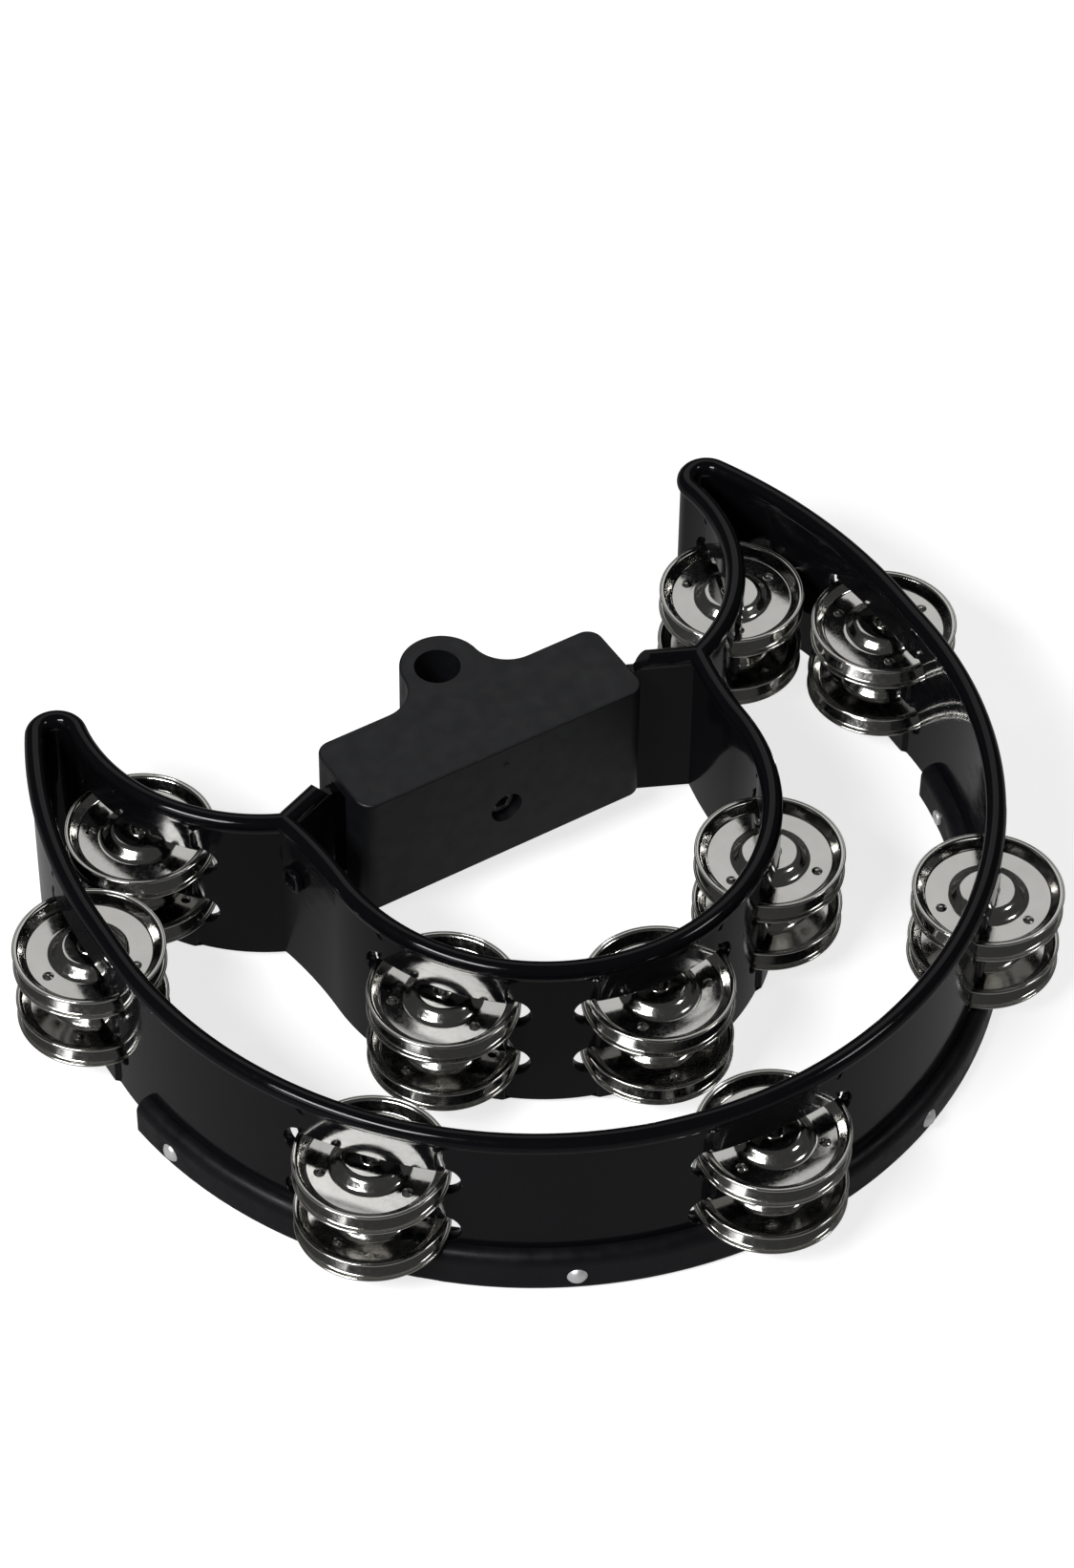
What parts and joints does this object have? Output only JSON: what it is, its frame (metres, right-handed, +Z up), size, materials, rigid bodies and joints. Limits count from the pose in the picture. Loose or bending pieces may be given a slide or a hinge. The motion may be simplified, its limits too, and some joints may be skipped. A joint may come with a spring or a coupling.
{
  "type": "tambourine",
  "caption": "Half-moon tambourine with horned crescent frame, hand loop, jingle plate pairs on pins, rubber bumper and a rod clamp block.",
  "frame": {"origin": "centre of the footprint on the resting plane", "axes": "+X along the handle, +Y towards the rod side, +Z up from the bumper to the bead"},
  "size_m": [0.2702, 0.2174, 0.0518],
  "materials": {
    "gloss_black_plastic": "gloss",
    "satin_black_plastic": "satin",
    "black_rubber": "satin",
    "plate_nickel": "polished",
    "pin_steel": "satin",
    "rivet_aluminium": "satin",
    "screw_steel": "satin"
  },
  "bodies": {
    "tambourine": {"frame": "gloss_black_plastic", "mount_block": "satin_black_plastic", "bumper_strip": "black_rubber", "bumper_rivets": "rivet_aluminium", "jingle_pins": "pin_steel", "clamp_nut": "screw_steel"},
    "clamp_screw": {"clamp_screw": "screw_steel"},
    "plate_side_r_upper_a": {"plate_side_r_upper_a": "plate_nickel"},
    "plate_side_r_upper_b": {"plate_side_r_upper_b": "plate_nickel"},
    "plate_side_r_lower_a": {"plate_side_r_lower_a": "plate_nickel"},
    "plate_side_r_lower_b": {"plate_side_r_lower_b": "plate_nickel"},
    "plate_front_r_upper_a": {"plate_front_r_upper_a": "plate_nickel"},
    "plate_front_r_upper_b": {"plate_front_r_upper_b": "plate_nickel"},
    "plate_front_r_lower_a": {"plate_front_r_lower_a": "plate_nickel"},
    "plate_front_r_lower_b": {"plate_front_r_lower_b": "plate_nickel"},
    "plate_front_m_upper_a": {"plate_front_m_upper_a": "plate_nickel"},
    "plate_front_m_upper_b": {"plate_front_m_upper_b": "plate_nickel"},
    "plate_front_m_lower_a": {"plate_front_m_lower_a": "plate_nickel"},
    "plate_front_m_lower_b": {"plate_front_m_lower_b": "plate_nickel"},
    "plate_front_l_upper_a": {"plate_front_l_upper_a": "plate_nickel"},
    "plate_front_l_upper_b": {"plate_front_l_upper_b": "plate_nickel"},
    "plate_front_l_lower_a": {"plate_front_l_lower_a": "plate_nickel"},
    "plate_front_l_lower_b": {"plate_front_l_lower_b": "plate_nickel"},
    "plate_side_l_upper_a": {"plate_side_l_upper_a": "plate_nickel"},
    "plate_side_l_upper_b": {"plate_side_l_upper_b": "plate_nickel"},
    "plate_side_l_lower_a": {"plate_side_l_lower_a": "plate_nickel"},
    "plate_side_l_lower_b": {"plate_side_l_lower_b": "plate_nickel"},
    "plate_arm_r_upper_a": {"plate_arm_r_upper_a": "plate_nickel"},
    "plate_arm_r_upper_b": {"plate_arm_r_upper_b": "plate_nickel"},
    "plate_arm_r_lower_a": {"plate_arm_r_lower_a": "plate_nickel"},
    "plate_arm_r_lower_b": {"plate_arm_r_lower_b": "plate_nickel"},
    "plate_loop_r_upper_a": {"plate_loop_r_upper_a": "plate_nickel"},
    "plate_loop_r_upper_b": {"plate_loop_r_upper_b": "plate_nickel"},
    "plate_loop_r_lower_a": {"plate_loop_r_lower_a": "plate_nickel"},
    "plate_loop_r_lower_b": {"plate_loop_r_lower_b": "plate_nickel"},
    "plate_loop_m_upper_a": {"plate_loop_m_upper_a": "plate_nickel"},
    "plate_loop_m_upper_b": {"plate_loop_m_upper_b": "plate_nickel"},
    "plate_loop_m_lower_a": {"plate_loop_m_lower_a": "plate_nickel"},
    "plate_loop_m_lower_b": {"plate_loop_m_lower_b": "plate_nickel"},
    "plate_loop_l_upper_a": {"plate_loop_l_upper_a": "plate_nickel"},
    "plate_loop_l_upper_b": {"plate_loop_l_upper_b": "plate_nickel"},
    "plate_loop_l_lower_a": {"plate_loop_l_lower_a": "plate_nickel"},
    "plate_loop_l_lower_b": {"plate_loop_l_lower_b": "plate_nickel"},
    "plate_arm_l_upper_a": {"plate_arm_l_upper_a": "plate_nickel"},
    "plate_arm_l_upper_b": {"plate_arm_l_upper_b": "plate_nickel"},
    "plate_arm_l_lower_a": {"plate_arm_l_lower_a": "plate_nickel"},
    "plate_arm_l_lower_b": {"plate_arm_l_lower_b": "plate_nickel"}
  },
  "joints": [
    {"name": "clamp_screw_slide", "type": "slide", "parent": "tambourine", "child": "clamp_screw", "axis": [-0.0349, 0.9994, 0], "range_m": [0, 0.0025]},
    {"name": "plate_side_r_upper_a_lift", "type": "slide", "parent": "tambourine", "child": "plate_side_r_upper_a", "axis": [0, 0, 1], "range_m": [0, 0.0021]},
    {"name": "plate_side_r_upper_b_spin", "type": "hinge", "parent": "tambourine", "child": "plate_side_r_upper_b", "pos_m": [0.11604, 0.0434, 0.03375], "axis": [0, 0, 1], "continuous": true},
    {"name": "plate_side_r_lower_a_lift", "type": "slide", "parent": "tambourine", "child": "plate_side_r_lower_a", "axis": [0, 0, 1], "range_m": [0, 0.0021]},
    {"name": "plate_side_r_lower_b_spin", "type": "hinge", "parent": "tambourine", "child": "plate_side_r_lower_b", "pos_m": [0.11604, 0.0434, 0.01595], "axis": [0, 0, 1], "continuous": true},
    {"name": "plate_front_r_upper_a_lift", "type": "slide", "parent": "tambourine", "child": "plate_front_r_upper_a", "axis": [0, 0, 1], "range_m": [0, 0.0021]},
    {"name": "plate_front_r_upper_b_spin", "type": "hinge", "parent": "tambourine", "child": "plate_front_r_upper_b", "pos_m": [0.08762, -0.04967, 0.03375], "axis": [0, 0, 1], "continuous": true},
    {"name": "plate_front_r_lower_a_lift", "type": "slide", "parent": "tambourine", "child": "plate_front_r_lower_a", "axis": [0, 0, 1], "range_m": [0, 0.0021]},
    {"name": "plate_front_r_lower_b_spin", "type": "hinge", "parent": "tambourine", "child": "plate_front_r_lower_b", "pos_m": [0.08762, -0.04967, 0.01595], "axis": [0, 0, 1], "continuous": true},
    {"name": "plate_front_m_upper_a_lift", "type": "slide", "parent": "tambourine", "child": "plate_front_m_upper_a", "axis": [0, 0, 1], "range_m": [0, 0.0021]},
    {"name": "plate_front_m_upper_b_spin", "type": "hinge", "parent": "tambourine", "child": "plate_front_m_upper_b", "pos_m": [0, -0.0896, 0.03375], "axis": [0, 0, 1], "continuous": true},
    {"name": "plate_front_m_lower_a_lift", "type": "slide", "parent": "tambourine", "child": "plate_front_m_lower_a", "axis": [0, 0, 1], "range_m": [0, 0.0021]},
    {"name": "plate_front_m_lower_b_spin", "type": "hinge", "parent": "tambourine", "child": "plate_front_m_lower_b", "pos_m": [0, -0.0896, 0.01595], "axis": [0, 0, 1], "continuous": true},
    {"name": "plate_front_l_upper_a_lift", "type": "slide", "parent": "tambourine", "child": "plate_front_l_upper_a", "axis": [0, 0, 1], "range_m": [0, 0.0021]},
    {"name": "plate_front_l_upper_b_spin", "type": "hinge", "parent": "tambourine", "child": "plate_front_l_upper_b", "pos_m": [-0.08762, -0.04967, 0.03375], "axis": [0, 0, 1], "continuous": true},
    {"name": "plate_front_l_lower_a_lift", "type": "slide", "parent": "tambourine", "child": "plate_front_l_lower_a", "axis": [0, 0, 1], "range_m": [0, 0.0021]},
    {"name": "plate_front_l_lower_b_spin", "type": "hinge", "parent": "tambourine", "child": "plate_front_l_lower_b", "pos_m": [-0.08762, -0.04967, 0.01595], "axis": [0, 0, 1], "continuous": true},
    {"name": "plate_side_l_upper_a_lift", "type": "slide", "parent": "tambourine", "child": "plate_side_l_upper_a", "axis": [0, 0, 1], "range_m": [0, 0.0021]},
    {"name": "plate_side_l_upper_b_spin", "type": "hinge", "parent": "tambourine", "child": "plate_side_l_upper_b", "pos_m": [-0.11604, 0.0434, 0.03375], "axis": [0, 0, 1], "continuous": true},
    {"name": "plate_side_l_lower_a_lift", "type": "slide", "parent": "tambourine", "child": "plate_side_l_lower_a", "axis": [0, 0, 1], "range_m": [0, 0.0021]},
    {"name": "plate_side_l_lower_b_spin", "type": "hinge", "parent": "tambourine", "child": "plate_side_l_lower_b", "pos_m": [-0.11604, 0.0434, 0.01595], "axis": [0, 0, 1], "continuous": true},
    {"name": "plate_arm_r_upper_a_lift", "type": "slide", "parent": "tambourine", "child": "plate_arm_r_upper_a", "axis": [0, 0, 1], "range_m": [0, 0.0021]},
    {"name": "plate_arm_r_upper_b_spin", "type": "hinge", "parent": "tambourine", "child": "plate_arm_r_upper_b", "pos_m": [0.08723, 0.07269, 0.03375], "axis": [0, 0, 1], "continuous": true},
    {"name": "plate_arm_r_lower_a_lift", "type": "slide", "parent": "tambourine", "child": "plate_arm_r_lower_a", "axis": [0, 0, 1], "range_m": [0, 0.0021]},
    {"name": "plate_arm_r_lower_b_spin", "type": "hinge", "parent": "tambourine", "child": "plate_arm_r_lower_b", "pos_m": [0.08723, 0.07269, 0.01595], "axis": [0, 0, 1], "continuous": true},
    {"name": "plate_loop_r_upper_a_lift", "type": "slide", "parent": "tambourine", "child": "plate_loop_r_upper_a", "axis": [0, 0, 1], "range_m": [0, 0.0021]},
    {"name": "plate_loop_r_upper_b_spin", "type": "hinge", "parent": "tambourine", "child": "plate_loop_r_upper_b", "pos_m": [0.04693, -0.01193, 0.03375], "axis": [0, 0, 1], "continuous": true},
    {"name": "plate_loop_r_lower_a_lift", "type": "slide", "parent": "tambourine", "child": "plate_loop_r_lower_a", "axis": [0, 0, 1], "range_m": [0, 0.0021]},
    {"name": "plate_loop_r_lower_b_spin", "type": "hinge", "parent": "tambourine", "child": "plate_loop_r_lower_b", "pos_m": [0.04693, -0.01193, 0.01595], "axis": [0, 0, 1], "continuous": true},
    {"name": "plate_loop_m_upper_a_lift", "type": "slide", "parent": "tambourine", "child": "plate_loop_m_upper_a", "axis": [0, 0, 1], "range_m": [0, 0.0021]},
    {"name": "plate_loop_m_upper_b_spin", "type": "hinge", "parent": "tambourine", "child": "plate_loop_m_upper_b", "pos_m": [0, -0.0362, 0.03375], "axis": [0, 0, 1], "continuous": true},
    {"name": "plate_loop_m_lower_a_lift", "type": "slide", "parent": "tambourine", "child": "plate_loop_m_lower_a", "axis": [0, 0, 1], "range_m": [0, 0.0021]},
    {"name": "plate_loop_m_lower_b_spin", "type": "hinge", "parent": "tambourine", "child": "plate_loop_m_lower_b", "pos_m": [0, -0.0362, 0.01595], "axis": [0, 0, 1], "continuous": true},
    {"name": "plate_loop_l_upper_a_lift", "type": "slide", "parent": "tambourine", "child": "plate_loop_l_upper_a", "axis": [0, 0, 1], "range_m": [0, 0.0021]},
    {"name": "plate_loop_l_upper_b_spin", "type": "hinge", "parent": "tambourine", "child": "plate_loop_l_upper_b", "pos_m": [-0.04693, -0.01193, 0.03375], "axis": [0, 0, 1], "continuous": true},
    {"name": "plate_loop_l_lower_a_lift", "type": "slide", "parent": "tambourine", "child": "plate_loop_l_lower_a", "axis": [0, 0, 1], "range_m": [0, 0.0021]},
    {"name": "plate_loop_l_lower_b_spin", "type": "hinge", "parent": "tambourine", "child": "plate_loop_l_lower_b", "pos_m": [-0.04693, -0.01193, 0.01595], "axis": [0, 0, 1], "continuous": true},
    {"name": "plate_arm_l_upper_a_lift", "type": "slide", "parent": "tambourine", "child": "plate_arm_l_upper_a", "axis": [0, 0, 1], "range_m": [0, 0.0021]},
    {"name": "plate_arm_l_upper_b_spin", "type": "hinge", "parent": "tambourine", "child": "plate_arm_l_upper_b", "pos_m": [-0.08723, 0.07269, 0.03375], "axis": [0, 0, 1], "continuous": true},
    {"name": "plate_arm_l_lower_a_lift", "type": "slide", "parent": "tambourine", "child": "plate_arm_l_lower_a", "axis": [0, 0, 1], "range_m": [0, 0.0021]},
    {"name": "plate_arm_l_lower_b_spin", "type": "hinge", "parent": "tambourine", "child": "plate_arm_l_lower_b", "pos_m": [-0.08723, 0.07269, 0.01595], "axis": [0, 0, 1], "continuous": true}
  ]
}
